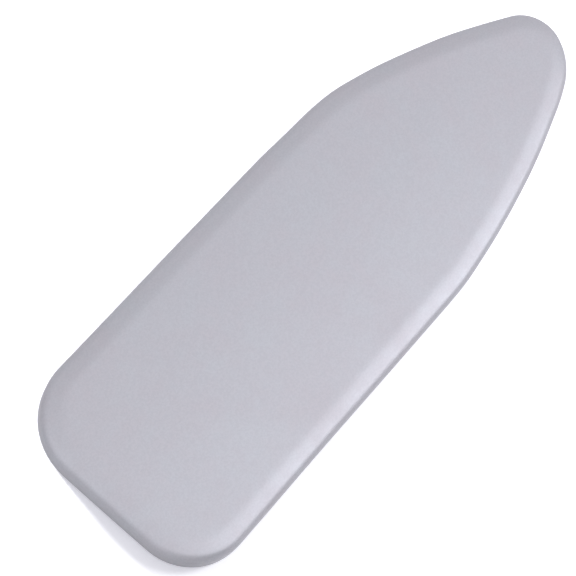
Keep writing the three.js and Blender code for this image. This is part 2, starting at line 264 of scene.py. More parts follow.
def bands(count, rings, closed_stack=False):
    """Faces that join each ring of `count` points to the next one."""
    around = np.arange(count)
    after = (around + 1) % count
    faces = []
    for band in range(rings if closed_stack else rings - 1):
        upper, lower = band * count, ((band + 1) % rings) * count
        faces.append(np.stack(
            [upper + around, lower + around, lower + after, upper + after], axis=1))
    return np.concatenate(faces)


def mesh_piece(name, points, faces, materials, uv=None, face_material=None):
    """A shaded mesh from points and faces, with one UV place per point where they are given."""
    mesh = bpy.data.meshes.new(name)
    mesh.from_pydata(np.asarray(points).tolist(), [], [list(map(int, f)) for f in faces])
    mesh.polygons.foreach_set("use_smooth", [True] * len(mesh.polygons))
    if uv is not None:
        corner = np.zeros(len(mesh.loops), np.int32)
        mesh.loops.foreach_get("vertex_index", corner)
        layer = mesh.uv_layers.new(name="cut")
        layer.data.foreach_set("uv", np.asarray(uv)[corner].astype(np.float32).ravel())
    if face_material is not None:
        mesh.polygons.foreach_set("material_index", np.asarray(face_material, np.int32))
    for material in materials:
        mesh.materials.append(material)
    mesh.validate()
    piece = bpy.data.objects.new(name, mesh)
    bpy.context.scene.collection.objects.link(piece)
    return piece


# Node helpers and shared effects

def fill_in(tree, made, inputs):
    """Gives inputs of a node their values, or links them to another node's socket."""
    for key, value in inputs.items():
        if isinstance(value, bpy.types.NodeSocket):
            tree.links.new(value, made.inputs[key])
        else:
            made.inputs[key].default_value = value


def add(tree, kind, inputs=None, **settings):
    """A new node in a tree, with its settings and inputs."""
    made = tree.nodes.new(kind)
    for key, value in settings.items():
        setattr(made, key, value)
    fill_in(tree, made, inputs or {})
    return made


def math_node(tree, operation, *values):
    """The result of one sum with values or sockets."""
    return add(tree, "ShaderNodeMath", dict(enumerate(values)), operation=operation).outputs[0]


def mixed(tree, share, first, second):
    """A colour between two others; 6, 7 and 2 are the Mix node's sockets for colours."""
    return add(tree, "ShaderNodeMix", {0: share, 6: first, 7: second},
               data_type="RGBA").outputs[2]


def between(tree, share, first, second):
    """A value between two others; 2, 3 and 0 are the Mix node's sockets for values."""
    return add(tree, "ShaderNodeMix", {0: share, 2: first, 3: second},
               data_type="FLOAT").outputs[0]


def ramp(tree, value, low, high, start=0.0, end=1.0):
    """A value that runs from `low` to `high` while another runs from `start` to `end`."""
    return add(tree, "ShaderNodeMapRange", {0: value, 1: start, 2: end, 3: low, 4: high},
               clamp=True).outputs[0]


def effect(name, inputs, outputs):
    """An empty shader node group with named sockets; gives its tree, input and output nodes."""
    tree = bpy.data.node_groups.new(name, "ShaderNodeTree")
    for label, kind in inputs.items():
        tree.interface.new_socket(label, in_out="INPUT", socket_type=kind)
    for label in outputs:
        tree.interface.new_socket(label, in_out="OUTPUT", socket_type="NodeSocketFloat")
    return tree, tree.nodes.new("NodeGroupInput"), tree.nodes.new("NodeGroupOutput")


VECTOR, FLOAT = "NodeSocketVector", "NodeSocketFloat"


def wave(tree, turns):
    """The height of a row of round ridges, one for each whole number."""
    return math_node(tree, "ABSOLUTE", math_node(
        tree, "SINE", math_node(tree, "MULTIPLY", turns, math.pi)))


def make_weave():
    """Plain weave: warp and weft threads that pass over and under each other."""
    tree, given, out = effect("Plain weave", {"Place": VECTOR, "Thread": FLOAT}, ["Height"])
    pitch = add(tree, "ShaderNodeCombineXYZ", {k: given.outputs["Thread"] for k in range(3)})
    scaled = add(tree, "ShaderNodeVectorMath", {0: given.outputs["Place"], 1: pitch.outputs[0]},
                 operation="DIVIDE")
    parts = add(tree, "ShaderNodeSeparateXYZ", {0: scaled.outputs[0]})
    u, v = parts.outputs[0], parts.outputs[1]

    def threads(across, along, sign):
        phase = math_node(tree, "ADD", along, math_node(tree, "FLOOR", across))
        over = math_node(tree, "SINE", math_node(tree, "MULTIPLY", phase, math.pi))
        lift = math_node(tree, "MULTIPLY_ADD", over, 0.5 * sign, 0.5)
        return math_node(tree, "MULTIPLY", wave(tree, across), lift)

    height = math_node(tree, "MAXIMUM", threads(u, v, 1), threads(v, u, -1))
    tree.links.new(height, out.inputs["Height"])
    return tree


def make_ribs():
    """Ribs along a tape, crossed by its picks."""
    tree, given, out = effect(
        "Tape ribs", {"Place": VECTOR, "Rib": FLOAT, "Pick": FLOAT}, ["Height"])
    parts = add(tree, "ShaderNodeSeparateXYZ", {0: given.outputs["Place"]})
    along, across = parts.outputs[0], parts.outputs[1]
    rib = wave(tree, math_node(tree, "DIVIDE", across, given.outputs["Rib"]))
    pick = wave(tree, math_node(tree, "DIVIDE", along, given.outputs["Pick"]))
    full_rib = math_node(tree, "POWER", rib, 0.6)
    soft_pick = math_node(tree, "MULTIPLY_ADD", pick, 0.45, 0.55)
    tree.links.new(math_node(tree, "MULTIPLY", full_rib, soft_pick), out.inputs["Height"])
    return tree


def make_mottle():
    """Soft clouds of two sizes, as uneven coating or dye shows."""
    tree, given, out = effect("Mottle", {"Place": VECTOR, "Size": FLOAT}, ["Mask"])
    clouds = []
    for share, detail in ((1.0, 3.0), (0.22, 2.0)):
        scale = math_node(tree, "DIVIDE", 1 / share, given.outputs["Size"])
        texture = add(tree, "ShaderNodeTexNoise", {
            "Vector": given.outputs["Place"], "Scale": scale, "Detail": detail,
            "Roughness": 0.55})
        clouds.append(texture.outputs[0])
    both = math_node(tree, "MULTIPLY_ADD", clouds[0], 0.65, math_node(
        tree, "MULTIPLY", clouds[1], 0.35))
    tree.links.new(ramp(tree, both, 0.0, 1.0, start=0.36, end=0.64), out.inputs["Mask"])
    return tree


def make_fibres():
    """Short tangled fibres and the small pits between them."""
    tree, given, out = effect("Fibres", {"Place": VECTOR, "Fibre": FLOAT}, ["Height", "Fleck"])
    scale = math_node(tree, "DIVIDE", 1.0, given.outputs["Fibre"])
    lines = []
    for stretch in ((1.0, 5.0, 1.0), (5.0, 1.0, 1.0)):
        squeezed = add(tree, "ShaderNodeVectorMath", {0: given.outputs["Place"], 1: stretch},
                       operation="MULTIPLY")
        texture = add(tree, "ShaderNodeTexNoise", {
            "Vector": squeezed.outputs[0], "Scale": scale, "Detail": 2.0, "Distortion": 1.4})
        lines.append(texture.outputs[0])
    pits = add(tree, "ShaderNodeTexVoronoi", {
        "Vector": given.outputs["Place"], "Scale": math_node(tree, "MULTIPLY", scale, 0.35)})
    fleck = ramp(tree, pits.outputs["Distance"], 1.0, 0.0, start=0.1, end=0.32)
    tree.links.new(math_node(tree, "MAXIMUM", *lines), out.inputs["Height"])
    tree.links.new(fleck, out.inputs["Fleck"])
    return tree


def make_pores():
    """Open cells of foam."""
    tree, given, out = effect("Pores", {"Place": VECTOR, "Cell": FLOAT}, ["Height"])
    scale = math_node(tree, "DIVIDE", 1.0, given.outputs["Cell"])
    cells = add(tree, "ShaderNodeTexVoronoi", {
        "Vector": given.outputs["Place"], "Scale": scale}, feature="SMOOTH_F1")
    tree.links.new(cells.outputs["Distance"], out.inputs["Height"])
    return tree


WEAVE, RIBS, MOTTLE = make_weave(), make_ribs(), make_mottle()
FIBRES, PORES = make_fibres(), make_pores()


# Materials

def srgb(red, green, blue):
    """A colour as a shader takes it, from the three values from 0 to 255 that a screen shows."""
    def linear(value):
        c = value / 255
        return c / 12.92 if c <= 0.04045 else ((c + 0.055) / 1.055) ** 2.4

    return (linear(red), linear(green), linear(blue), 1.0)


def new_material(name):
    """A material with its tree, its shader, and its places: on the object and along the cloth."""
    material = bpy.data.materials.new(name)
    material.use_nodes = True
    tree = material.node_tree
    tree.nodes.clear()
    shader = tree.nodes.new("ShaderNodeBsdfPrincipled")
    add(tree, "ShaderNodeOutputMaterial", {0: shader.outputs[0]})
    places = tree.nodes.new("ShaderNodeTexCoord")
    return SimpleNamespace(material=material, tree=tree, shader=shader,
                           body=places.outputs["Object"], cut=places.outputs["UV"])


def use(made, group, output, **inputs):
    """Places a shared effect in a material, and gives one of its outputs."""
    return add(made.tree, "ShaderNodeGroup", inputs, node_tree=group).outputs[output]


def fine_noise(made, scale, **more):
    """Noise that is much finer than the clouds of the mottle."""
    inputs = {"Vector": made.body, "Scale": scale, "Detail": 2.0, **more}
    return add(made.tree, "ShaderNodeTexNoise", inputs).outputs[0]


def relief(made, *layers):
    """Bump from one or more (height, distance, strength) layers, joined to the shader."""
    normal = None
    for height, distance, strength in layers:
        bump = add(made.tree, "ShaderNodeBump", {
            "Height": height, "Distance": distance, "Strength": strength})
        if normal is not None:
            made.tree.links.new(normal, bump.inputs["Normal"])
        normal = bump.outputs[0]
    made.tree.links.new(normal, made.shader.inputs["Normal"])


def finish_with(made, colour, roughness, **constants):
    """Sets the shader: colour and roughness may be linked, the constants are set by name."""
    fill_in(made.tree, made.shader, {"Base Color": colour, "Roughness": roughness})
    for key, value in constants.items():
        made.shader.inputs[key.replace("_", " ")].default_value = value
    return made.material


COTTON_THREAD = 0.45 * MM
# The coated cloth is stretched to its full satin over the top, and less so down the side
TAUT_ABOVE = 41 * MM
SLACK_BELOW = 34 * MM


def metallised_cloth():
    """The face of the skin: cotton with a satin metallised coating."""
    made = new_material("Metallised cotton")
    clouds = use(made, MOTTLE, "Mask", Place=made.body, Size=85 * MM)
    threads = use(made, WEAVE, "Height", Place=made.cut, Thread=COTTON_THREAD)
    grain = fine_noise(made, 900.0)
    slubs = fine_noise(made, 300.0, Roughness=0.6)
    # Painted shade: the cloth is darker in the gaps between its threads
    shade_between_threads = ramp(made.tree, threads, 0.12, 0.0)
    thick = ramp(made.tree, slubs, 0.0, 0.42, start=0.36, end=0.64)
    colour = mixed(made.tree, clouds, srgb(190, 187, 196), srgb(189, 190, 199))
    colour = mixed(made.tree, shade_between_threads, colour, srgb(166, 166, 178))
    colour = mixed(made.tree, thick, colour, srgb(174, 174, 184))
    relief(made, (threads, 0.08 * MM, 0.5), (grain, 0.1 * MM, 0.25))
    height = add(made.tree, "ShaderNodeSeparateXYZ", {0: made.body}).outputs["Z"]
    slack = ramp(made.tree, height, 0.0, 1.0, start=TAUT_ABOVE, end=SLACK_BELOW)
    rough = between(made.tree, slack, ramp(made.tree, clouds, 0.47, 0.4), 0.68)
    return finish_with(made, colour, rough, Metallic=0.45, Specular_Tint=(0.5, 0.5, 0.52, 1),
                       Sheen_Weight=0.08, Sheen_Roughness=0.4)


def cotton_back():
    """The uncoated back of the skin."""
    made = new_material("Cotton back")
    threads = use(made, WEAVE, "Height", Place=made.cut, Thread=COTTON_THREAD)
    # Painted shade: darker in the gaps between the threads, lighter on their tops
    colour = mixed(made.tree, threads, srgb(205, 203, 198), srgb(228, 226, 221))
    relief(made, (threads, 0.1 * MM, 0.6))
    return finish_with(made, colour, 0.9, Sheen_Weight=0.15)


def foam_finish():
    """Foam: open cells, a little yellowed in clouds."""
    made = new_material("Open cell foam")
    cells = use(made, PORES, "Height", Place=made.body, Cell=1.3 * MM)
    clouds = use(made, MOTTLE, "Mask", Place=made.body, Size=90 * MM)
    # Painted shade: darker down in the open cells, lighter on the cell walls
    colour = mixed(made.tree, cells, srgb(178, 170, 146), srgb(236, 230, 210))
    colour = mixed(made.tree, ramp(made.tree, clouds, 0.0, 0.25), colour, srgb(226, 216, 186))
    relief(made, (cells, 0.6 * MM, 0.8))
    return finish_with(made, colour, 0.95)


def felt_finish():
    """Needle felt: pale tangled fibres with darker flecks."""
    made = new_material("Needle felt")
    hair = use(made, FIBRES, "Height", Place=made.body, Fibre=4 * MM)
    fleck = use(made, FIBRES, "Fleck", Place=made.body, Fibre=2.1 * MM)
    clouds = use(made, MOTTLE, "Mask", Place=made.body, Size=50 * MM)
    colour = mixed(made.tree, clouds, srgb(206, 204, 198), srgb(222, 220, 215))
    # Painted shade: darker where the fibres lie low, between them
    colour = mixed(made.tree, ramp(made.tree, hair, 0.35, 0.0), colour, srgb(172, 170, 168))
    colour = mixed(made.tree, ramp(made.tree, fleck, 0.0, 0.2), colour, srgb(150, 150, 154))
    relief(made, (hair, 0.7 * MM, 0.7), (fleck, 0.4 * MM, 0.5))
    return finish_with(made, colour, 1.0, Sheen_Weight=0.25, Sheen_Roughness=0.6)


def tape_finish(name, dark, light, rib, pick, depth=0.18 * MM):
    """Woven tape, webbing or elastic: ribs, picks and a little uneven dye."""
    made = new_material(name)
    ribs = use(made, RIBS, "Height", Place=made.cut, Rib=rib, Pick=pick)
    clouds = use(made, MOTTLE, "Mask", Place=made.body, Size=30 * MM)
    # Painted shade: darker in the grooves between ribs and picks, lighter on their tops
    colour = mixed(made.tree, ribs, dark, light)
    colour = mixed(made.tree, ramp(made.tree, clouds, 0.0, 0.3), colour, dark)
    relief(made, (ribs, depth, 0.8))
    return finish_with(made, colour, 0.82, Sheen_Weight=0.1)


def hook_finish():
    """Hook tape: smooth nylon on a fine weave."""
    made = new_material("Hook tape")
    clouds = use(made, MOTTLE, "Mask", Place=made.body, Size=10 * MM)
    threads = use(made, WEAVE, "Height", Place=made.body, Thread=0.7 * MM)
    colour = mixed(made.tree, clouds, srgb(104, 106, 113), srgb(124, 126, 133))
    relief(made, (threads, 0.1 * MM, 0.6))
    return finish_with(made, colour, ramp(made.tree, clouds, 0.5, 0.36))


def loop_finish():
    """Loop tape: soft brushed yarn."""
    made = new_material("Loop tape")
    hair = use(made, FIBRES, "Height", Place=made.body, Fibre=1.2 * MM)
    # Painted shade: darker down between the loops, lighter on their tops
    colour = mixed(made.tree, hair, srgb(98, 100, 108), srgb(150, 152, 160))
    relief(made, (hair, 0.5 * MM, 0.9))
    return finish_with(made, colour, 1.0, Sheen_Weight=0.4, Sheen_Roughness=0.5)


def thread_finish():
    """Sewing thread with its twist."""
    made = new_material("Polyester thread")
    twist = add(made.tree, "ShaderNodeTexWave", {
        "Vector": made.body, "Scale": 420.0, "Distortion": 0.4},
        wave_type="BANDS", bands_direction="DIAGONAL").outputs[1]
    # Painted shade: darker in the grooves of the twist
    colour = mixed(made.tree, twist, srgb(168, 169, 178), srgb(206, 207, 214))
    relief(made, (twist, 0.06 * MM, 0.7))
    return finish_with(made, colour, 0.5, Sheen_Weight=0.1)


SKIN_FACE, SKIN_BACK = metallised_cloth(), cotton_back()
FOAM_LOOK, FELT_LOOK = foam_finish(), felt_finish()
BINDING_LOOK = tape_finish("Binding tape", srgb(142, 143, 152), srgb(184, 185, 193),
                           rib=0.8 * MM, pick=0.8 * MM)
ELASTIC_LOOK = tape_finish("Braided elastic", srgb(206, 206, 204), srgb(242, 242, 240),
                           rib=1.1 * MM, pick=0.9 * MM)
WEBBING_LOOK = tape_finish("Strap webbing", srgb(116, 118, 126), srgb(160, 162, 170),
                           rib=1.8 * MM, pick=1.6 * MM, depth=0.3 * MM)
HOOK_LOOK, LOOP_LOOK, THREAD_LOOK = hook_finish(), loop_finish(), thread_finish()


# Lie of the soft layers: the pad gives a little under the taut skin, and the lip bunches

STRAP_BOXES = [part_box(f"{name}_strap_hook_webbing") for name in ("nose", "middle", "tail")]

SWELL = 0.9 * MM          # rise of the middle of the top
DIMPLE = 0.12 * MM        # depth of the soft unevenness
DIMPLE_SIZE = 130 * MM
FULL_LIE_INSET = 2 * MM   # the top's lie dies out between its flat part and this place
PUCKER = 2.8 * MM         # fold height of the bunched lip
PUCKER_PITCH = 13.5 * MM
PUCKER_DRIFT = 1.5        # how far the folds stray from even spacing, in radians
PUCKER_DRIFT_SIZE = 50 * MM
PUCKER_UNEVEN_SIZE = 40 * MM
PUCKER_GROWTH = 1.3       # power by which the folds grow towards the hem
PUCKER_FADE_SHARE = 0.62  # from this share of the lip's width on, the binding flattens them
HEM_PUCKER_SHARE = 0.3    # how much of a fold is left where the binding holds it
STRAP_CALM_NEAR = 17 * MM # no folds this close to a strap's middle, and full ones beyond the next
STRAP_CALM_FAR = 34 * MM
LIP_RISE_SHARE = 0.65     # height of the lip's middle line between fold and hem
LIP_GATHER_SHARE = 0.6
LIP_STEPS = 14
STEPS_ACROSS = 30
SPREAD_ROWS = 60          # rows at each end whose middles are spread out
BUNCHING_PASSES = 60


def smoothed_round(values, passes):
    """Values on a closed line, each eased towards its neighbours."""
    for _ in range(passes):
        values = (np.roll(values, 1) + 2 * values + np.roll(values, -1)) / 4
    return values


def pucker_line():
    """The small folds along the hem, one value per station: strong where the edge bends tightly
    and calm where a strap is sewn on."""
    hem = opening_line.at
    step = np.linalg.norm(np.roll(hem, -1, axis=0) - hem, axis=1)
    along = np.concatenate([[0], np.cumsum(step)[:-1]])
    rounds = round(step.sum() / PUCKER_PITCH)
    phase = TURN * rounds * along / step.sum()
    spots = np.column_stack([hem, np.zeros(COUNT)])
    phase += PUCKER_DRIFT * perlin(spots, PUCKER_DRIFT_SIZE, 3)
    folds = 0.75 * np.sin(phase) + 0.25 * np.sin(2 * phase + 0.8)
    uneven = 0.8 + 0.5 * perlin(spots, PUCKER_UNEVEN_SIZE, 5)
    strength = smoothed_round(opening_line.bunching, BUNCHING_PASSES)
    for low, high in STRAP_BOXES:
        away = np.abs(hem[:, 0] - (low[0] + high[0]) / 2)
        strength = strength * eased(away, STRAP_CALM_NEAR, STRAP_CALM_FAR)
    return folds * uneven * strength


puckers = pucker_line()
hem_wave = GATHER * opening_line.gather + PUCKER * HEM_PUCKER_SHARE * puckers


def top_lie(points):
    """How far the top rises over its flat place: a slight swell and soft unevenness."""
    across = (points[:, 1] + NOSE_SHIFT / 2) / (WIDTH / 2)
    along = points[:, 0] / (LENGTH / 2)
    swell = SWELL * np.clip(1 - across ** 2, 0, 1) * np.clip(1 - along ** 4, 0, 1)
    flat = points * (1, 1, 0)
    uneven = perlin(flat, DIMPLE_SIZE, 1) + 0.35 * perlin(flat, DIMPLE_SIZE / 3, 2)
    return swell + DIMPLE * uneven


# Skin, foam and felt

def section_ring(station, depth):
    """The ring at one place of the section, `depth` under the skin's outer face."""
    inset, height, angle = station
    return ring(cover_line, inset + depth * math.cos(angle), height - depth * math.sin(angle))


def rows_across(edge):
    """Fills a closed ring with rows, from each left-hand point to the one abreast. At the nose and
    the tail, where straight rows would all but coincide, they bow inwards, and their middles are
    evenly spread."""
    left = edge[1:COUNT // 2]
    right = edge[COUNT // 2 + 1:][::-1]
    share = np.linspace(0, 1, STEPS_ACROSS + 1)[1:-1, None, None]
    rows = left * (1 - share) + right * share
    middle = (left[:, 0] + right[:, 0]) / 2
    steps = np.arange(1, SPREAD_ROWS + 1) / (SPREAD_ROWS + 1)
    spread = middle.copy()
    nose, tail = edge[0, 0], edge[COUNT // 2, 0]
    spread[:SPREAD_ROWS] = nose + (middle[SPREAD_ROWS] - nose) * steps
    spread[-SPREAD_ROWS:] = tail + (middle[-SPREAD_ROWS - 1] - tail) * steps[::-1]
    bow = 4 * share[:, :, 0] * (1 - share[:, :, 0])
    rows[:, :, 0] += bow * (spread - middle)
    return rows.reshape(-1, 3)


def cap_faces(edge_start, first_inner, flip=False):
    """Faces of a filled ring. Its own points start at `edge_start`, and those that rows_across()
    put inside it at `first_inner`."""
    rows = COUNT // 2 - 1
    place = np.empty((STEPS_ACROSS + 1, rows), int)
    place[0] = edge_start + np.arange(1, rows + 1)
    place[-1] = edge_start + np.arange(COUNT - 1, COUNT // 2, -1)
    place[1:-1] = first_inner + np.arange((STEPS_ACROSS - 1) * rows).reshape(-1, rows)
    quads = np.stack([place[:-1, :-1], place[:-1, 1:], place[1:, 1:], place[1:, :-1]], axis=-1)
    faces = quads.reshape(-1, 4)[:, ::-1 if flip else 1].tolist()
    nose, tail = edge_start, edge_start + COUNT // 2
    ends = [[nose] + place[:, 0].tolist(), [tail] + place[::-1, -1].tolist()]
    return faces + [end[::-1] if flip else end for end in ends]


def layer_face(places, depth):
    """One face of a soft layer: its rings, from the flat top down the given places of the section,
    and the points that fill its top. The top's lie dies out before the rim."""
    rings = [section_ring(station, depth) for station in places]
    for station, here in zip(places, rings):
        here[:, 2] += eased(station[0], FULL_LIE_INSET, PLATEAU_INSET) * top_lie(here)
    top = rows_across(rings[0])
    top[:, 2] = HEIGHT - depth + top_lie(top)
    return SimpleNamespace(rings=rings, top=top)


def layer_piece(name, outer, inner, materials, uv=None):
    """A closed piece between two faces. The outer one takes the first material, the inner one the
    last."""
    rings = outer.rings + inner.rings[::-1]
    edge = np.concatenate(rings)
    side_faces = bands(COUNT, len(rings)).tolist()
    top_faces = cap_faces(0, len(edge))
    under_faces = cap_faces(len(edge) - COUNT, len(edge) + len(outer.top), flip=True)
    on_back = [i // COUNT >= len(outer.rings) for i in range(len(side_faces))]
    on_back += [False] * len(top_faces) + [True] * len(under_faces)
    return mesh_piece(name, np.concatenate([edge, outer.top, inner.top]),
                      side_faces + top_faces + under_faces, materials, uv,
                      np.array(on_back) * (len(materials) - 1))


def lip_rings(fold, hem_level):
    """The lip turned under, from the fold to the hem: it bows upwards, and its gathers and folds
    grow towards the hem. The last ring lies inside the binding."""
    mouth = ring(opening_line, -CASING_LAP - GAP, hem_level + hem_wave)
    rings = []
    for share in np.arange(1, LIP_STEPS + 1) / LIP_STEPS:
        here = fold * (1 - share) + mouth * share
        bowed = share + (LIP_RISE_SHARE - 0.5) * 4 * share * (1 - share)
        gathered = share * (1 + (LIP_GATHER_SHARE - 0.5) * 4 * (1 - share))
        held = eased(share, PUCKER_FADE_SHARE, 1.0)
        puckered = share ** PUCKER_GROWTH * (1 - (1 - HEM_PUCKER_SHARE) * held)
        here[:, 2] = (fold[:, 2] + (hem_level - fold[:, 2]) * bowed
                      + GATHER * opening_line.gather * gathered + PUCKER * puckers * puckered)
        rings.append(here)
    return rings + [ring(opening_line, 0, hem_level + hem_wave)]


def skin_face(depth):
    """One face of the skin: the top, the edge, the wall, the fold and the lip."""
    face = layer_face(SECTION, depth)
    face.rings += lip_rings(face.rings[-1], HEM_HEIGHT - SKIN / 2 + depth)
    return face


def skin_cut(rings):
    """Where each ring of the skin's outer face lies on the flat cloth."""
    steps = [math.dist(a[:2], b[:2]) for a, b in zip(SECTION, SECTION[1:])]
    grown = np.concatenate([[0], np.cumsum(steps)])
    cut = [cover_line.at - (PLATEAU_INSET - out) * cover_line.normal for out in grown]
    fold, mouth = rings[len(SECTION) - 1], rings[-2]
    reach = np.linalg.norm(mouth[:, :2] - fold[:, :2], axis=1)[:, None]
    at_fold = cut[-1]
    cut += [at_fold + cover_line.normal * reach * step / LIP_STEPS
            for step in range(1, LIP_STEPS + 1)]
    return cut + [cut[-1] + cover_line.normal * (CASING_LAP + GAP)]


def make_skin():
    """The skin, metallised outside and plain inside."""
    outer, inner = skin_face(0), skin_face(SKIN)
    cut = skin_cut(outer.rings)
    uv = np.concatenate(cut + cut[::-1] + [outer.top[:, :2], inner.top[:, :2]])
    piece = layer_piece("cover_skin", outer, inner, [SKIN_FACE, SKIN_BACK], uv)
    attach(piece, "root")
    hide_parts("cover_fabric")
    return piece


FOAM_EDGE_ROUND = 0.9 * MM     # how far the cut edge of the foam bulges down


def make_foam():
    """The foam pad: over the top, round the edge and part of the way down the side."""
    depth = SKIN + GAP
    places = [s for s in SECTION if s[1] > FOAM_HEM_HEIGHT]
    lean = (places[-1][1] - FOAM_HEM_HEIGHT) * math.tan(WALL_LEAN)
    places.append((places[-1][0] + lean, FOAM_HEM_HEIGHT, -WALL_LEAN))
    outer, inner = layer_face(places, depth), layer_face(places, depth + FOAM)
    outer.rings.append((outer.rings[-1] + inner.rings[-1]) / 2 - (0, 0, FOAM_EDGE_ROUND))
    piece = layer_piece("foam_layer", outer, inner, [FOAM_LOOK])
    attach(piece, "root")
    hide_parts("foam_pad")
    return piece


FELT_LOFT = 0.16 * MM          # unevenness of the felt's underside
FELT_LOFT_SIZE = 18 * MM
FELT_EDGE = 4 * MM             # width of the felt's edge where it thins out


def make_felt():
    """The felt underlay: flat where it lies on the board, thinning under the foam's curve."""
    depth = SKIN + GAP + FOAM + GAP
    underside = HEIGHT - depth - FELT
    places = [s for s in SECTION if s[2] > 0 and s[1] - depth * math.sin(s[2]) > underside]
    outer = layer_face(places, depth)
    flat = ring(cover_line, PLATEAU_INSET, underside)
    near_edge = ring(cover_line, places[-1][0] + depth + FELT_EDGE, underside)
    edge = outer.rings[-1] * (1, 1, 0) + (0, 0, underside)
    under = rows_across(flat)
    under[:, 2] += FELT_LOFT * perlin(under, FELT_LOFT_SIZE, 7)
    inner = SimpleNamespace(rings=[flat, near_edge, edge], top=under)
    piece = layer_piece("felt_layer", outer, inner, [FELT_LOOK])
    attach(piece, "root")
    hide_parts("felt_underlay")
    return piece


# Hem

BINDING_ROUND_SHARE = 0.92     # roundness of the tape's fold, outside and inside
SLOT_ROUND_SHARE = 0.7
BINDING_PUFF = 0.25 * MM       # how far the folds of the lip swell the tape
ELASTIC_RIBS = 5
ELASTIC_RIB_SHARE = 0.22       # depth of the grooves between its ribs


def path_lengths(line):
    """How far along a line each of its points lies."""
    steps = np.linalg.norm(np.diff(np.asarray(line, float), axis=0), axis=1)
    return np.concatenate([[0], np.cumsum(steps)])


def round_the_opening(name, profile, material, puff=0.0):
    """Carries a closed section round the hem. Its points are (inset, rise) from the hem's line."""
    puffed = puff * np.abs(puckers)
    rings = [ring(opening_line, inset,
                  HEM_HEIGHT + rise + hem_wave + math.copysign(1, rise) * puffed)
             for inset, rise in profile]
    along = path_lengths(opening_line.at)
    uv = np.concatenate([np.column_stack([along, np.full(COUNT, across)])
                         for across in path_lengths(profile)])
    faces = bands(COUNT, len(rings), closed_stack=True)
    return mesh_piece(name, np.concatenate(rings), faces, [material], uv)


def arc_points(centre, radius, start, end, steps):
    """Places along an arc, with both its ends."""
    return [(centre[0] + radius * math.cos(start + (end - start) * k / steps),
             centre[1] + radius * math.sin(start + (end - start) * k / steps))
            for k in range(steps + 1)]


def make_binding():
    """A tape folded round the edge and the elastic, open towards the lip."""
    half = CASING_HEIGHT / 2
    reach = CASING_WIDTH - CASING_LAP
    slot = half - CASING_WALL
    lip = CASING_WALL / 2
    outside = half * BINDING_ROUND_SHARE
    inside = slot * SLOT_ROUND_SHARE
    start, turn, back = lip - CASING_LAP, reach - outside, reach - CASING_WALL - inside
    profile = [(x, -half) for x in np.linspace(start, turn, 5)[:-1]]
    profile += arc_points((turn, outside - half), outside, -QUARTER, 0, 4)
    profile += arc_points((turn, half - outside), outside, 0, QUARTER, 4)
    profile += [(x, half) for x in np.linspace(turn, start, 5)[1:]]
    profile += arc_points((start, half - lip), lip, QUARTER, 3 * QUARTER, 4)[1:]
    profile += arc_points((back, slot - inside), inside, QUARTER, 0, 3)
    profile += arc_points((back, inside - slot), inside, 0, -QUARTER, 3)
    profile += arc_points((start, lip - half), lip, QUARTER, 3 * QUARTER, 4)[:-1]
    piece = round_the_opening("hem_binding", profile, BINDING_LOOK, BINDING_PUFF)
    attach(piece, "root")
    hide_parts("hem_casing")
    return piece


def make_elastic():
    """A flat elastic with rounded ribs, inside the binding."""
    half = CASING_HEIGHT / 2 - CASING_WALL - GAP
    near, far = GAP, CASING_WIDTH - CASING_LAP - CASING_WALL - GAP
    across = np.linspace(near, far, ELASTIC_RIBS * 4 + 1)
    ribs = np.abs(np.sin(math.pi * ELASTIC_RIBS * (across - near) / (far - near)))
    swell = half * (1 - ELASTIC_RIB_SHARE + ELASTIC_RIB_SHARE * ribs)
    profile = list(zip(across, -swell)) + list(zip(across, swell))[::-1]
    piece = round_the_opening("elastic_band", profile, ELASTIC_LOOK)
    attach(piece, "root")
    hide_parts("hem_elastic")
    return piece


# Stitches

STITCH_WIDTH = 0.5 * MM
STITCH_HEIGHT = 0.34 * MM
STITCH_FILL = 0.8              # share of the pitch that shows as thread
HEM_STITCH = 3.1 * MM
BOX_STITCH = 2.8 * MM
PATCH_STITCH = 2.6 * MM
HEM_SEAM_INSETS = (-3.1 * MM, -0.9 * MM)


def strand_faces(sides, rings):
    """Faces of a closed strand. They look outwards where each ring turns anticlockwise, seen from
    the strand's far end."""
    last = (rings - 1) * sides
    return (bands(sides, rings)[:, ::-1].tolist()
            + [list(range(sides))[::-1], list(range(last, last + sides))])


def stitch_shape():
    """One lock stitch along X, a unit long and a unit wide, pinched at its ends."""
    places, sides = ((-0.5, 0.35), (-0.36, 0.85), (0.36, 0.85), (0.5, 0.35)), 6
    points = [(x, 0.5 * r * math.cos(TURN * k / sides), 0.5 * r * math.sin(TURN * k / sides))
              for x, r in places for k in range(sides)]
    return np.array(points), strand_faces(sides, len(places))


STITCH_POINTS, STITCH_FACES = stitch_shape()


def evenly(path, pitch, closed=False):
    """Places and directions along a 3-D line, about `pitch` apart."""
    line = np.concatenate([path, path[:1]]) if closed else path
    along = path_lengths(line)
    count = max(1, round(along[-1] / pitch))
    at = (np.arange(count) + 0.5) * along[-1] / count
    half = along[-1] / count * STITCH_FILL / 2

    def place(s):
        return np.stack([np.interp(s, along, line[:, k]) for k in range(3)], axis=1)

    start, end = place(at - half), place(at + half)
    return (start + end) / 2, end - start


def seam(name, paths, pitch, body, closed=False):
    """Stitches along one or more lines that lie on an about level face."""
    points, faces = [], []
    for path in paths:
        for centre, run in zip(*evenly(np.asarray(path, float), pitch, closed)):
            length = np.linalg.norm(run)
            ahead = run / length
            side = np.cross((0, 0, 1), ahead)
            side /= np.linalg.norm(side)
            above = np.cross(ahead, side)
            first = len(points) * len(STITCH_POINTS)
            points.append(centre + STITCH_POINTS @ np.array(
                [ahead * length, side * STITCH_WIDTH, above * STITCH_HEIGHT]))
            faces.extend([[first + i for i in face] for face in STITCH_FACES])
    piece = mesh_piece(name, np.concatenate(points), faces, [THREAD_LOOK])
    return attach(piece, body)


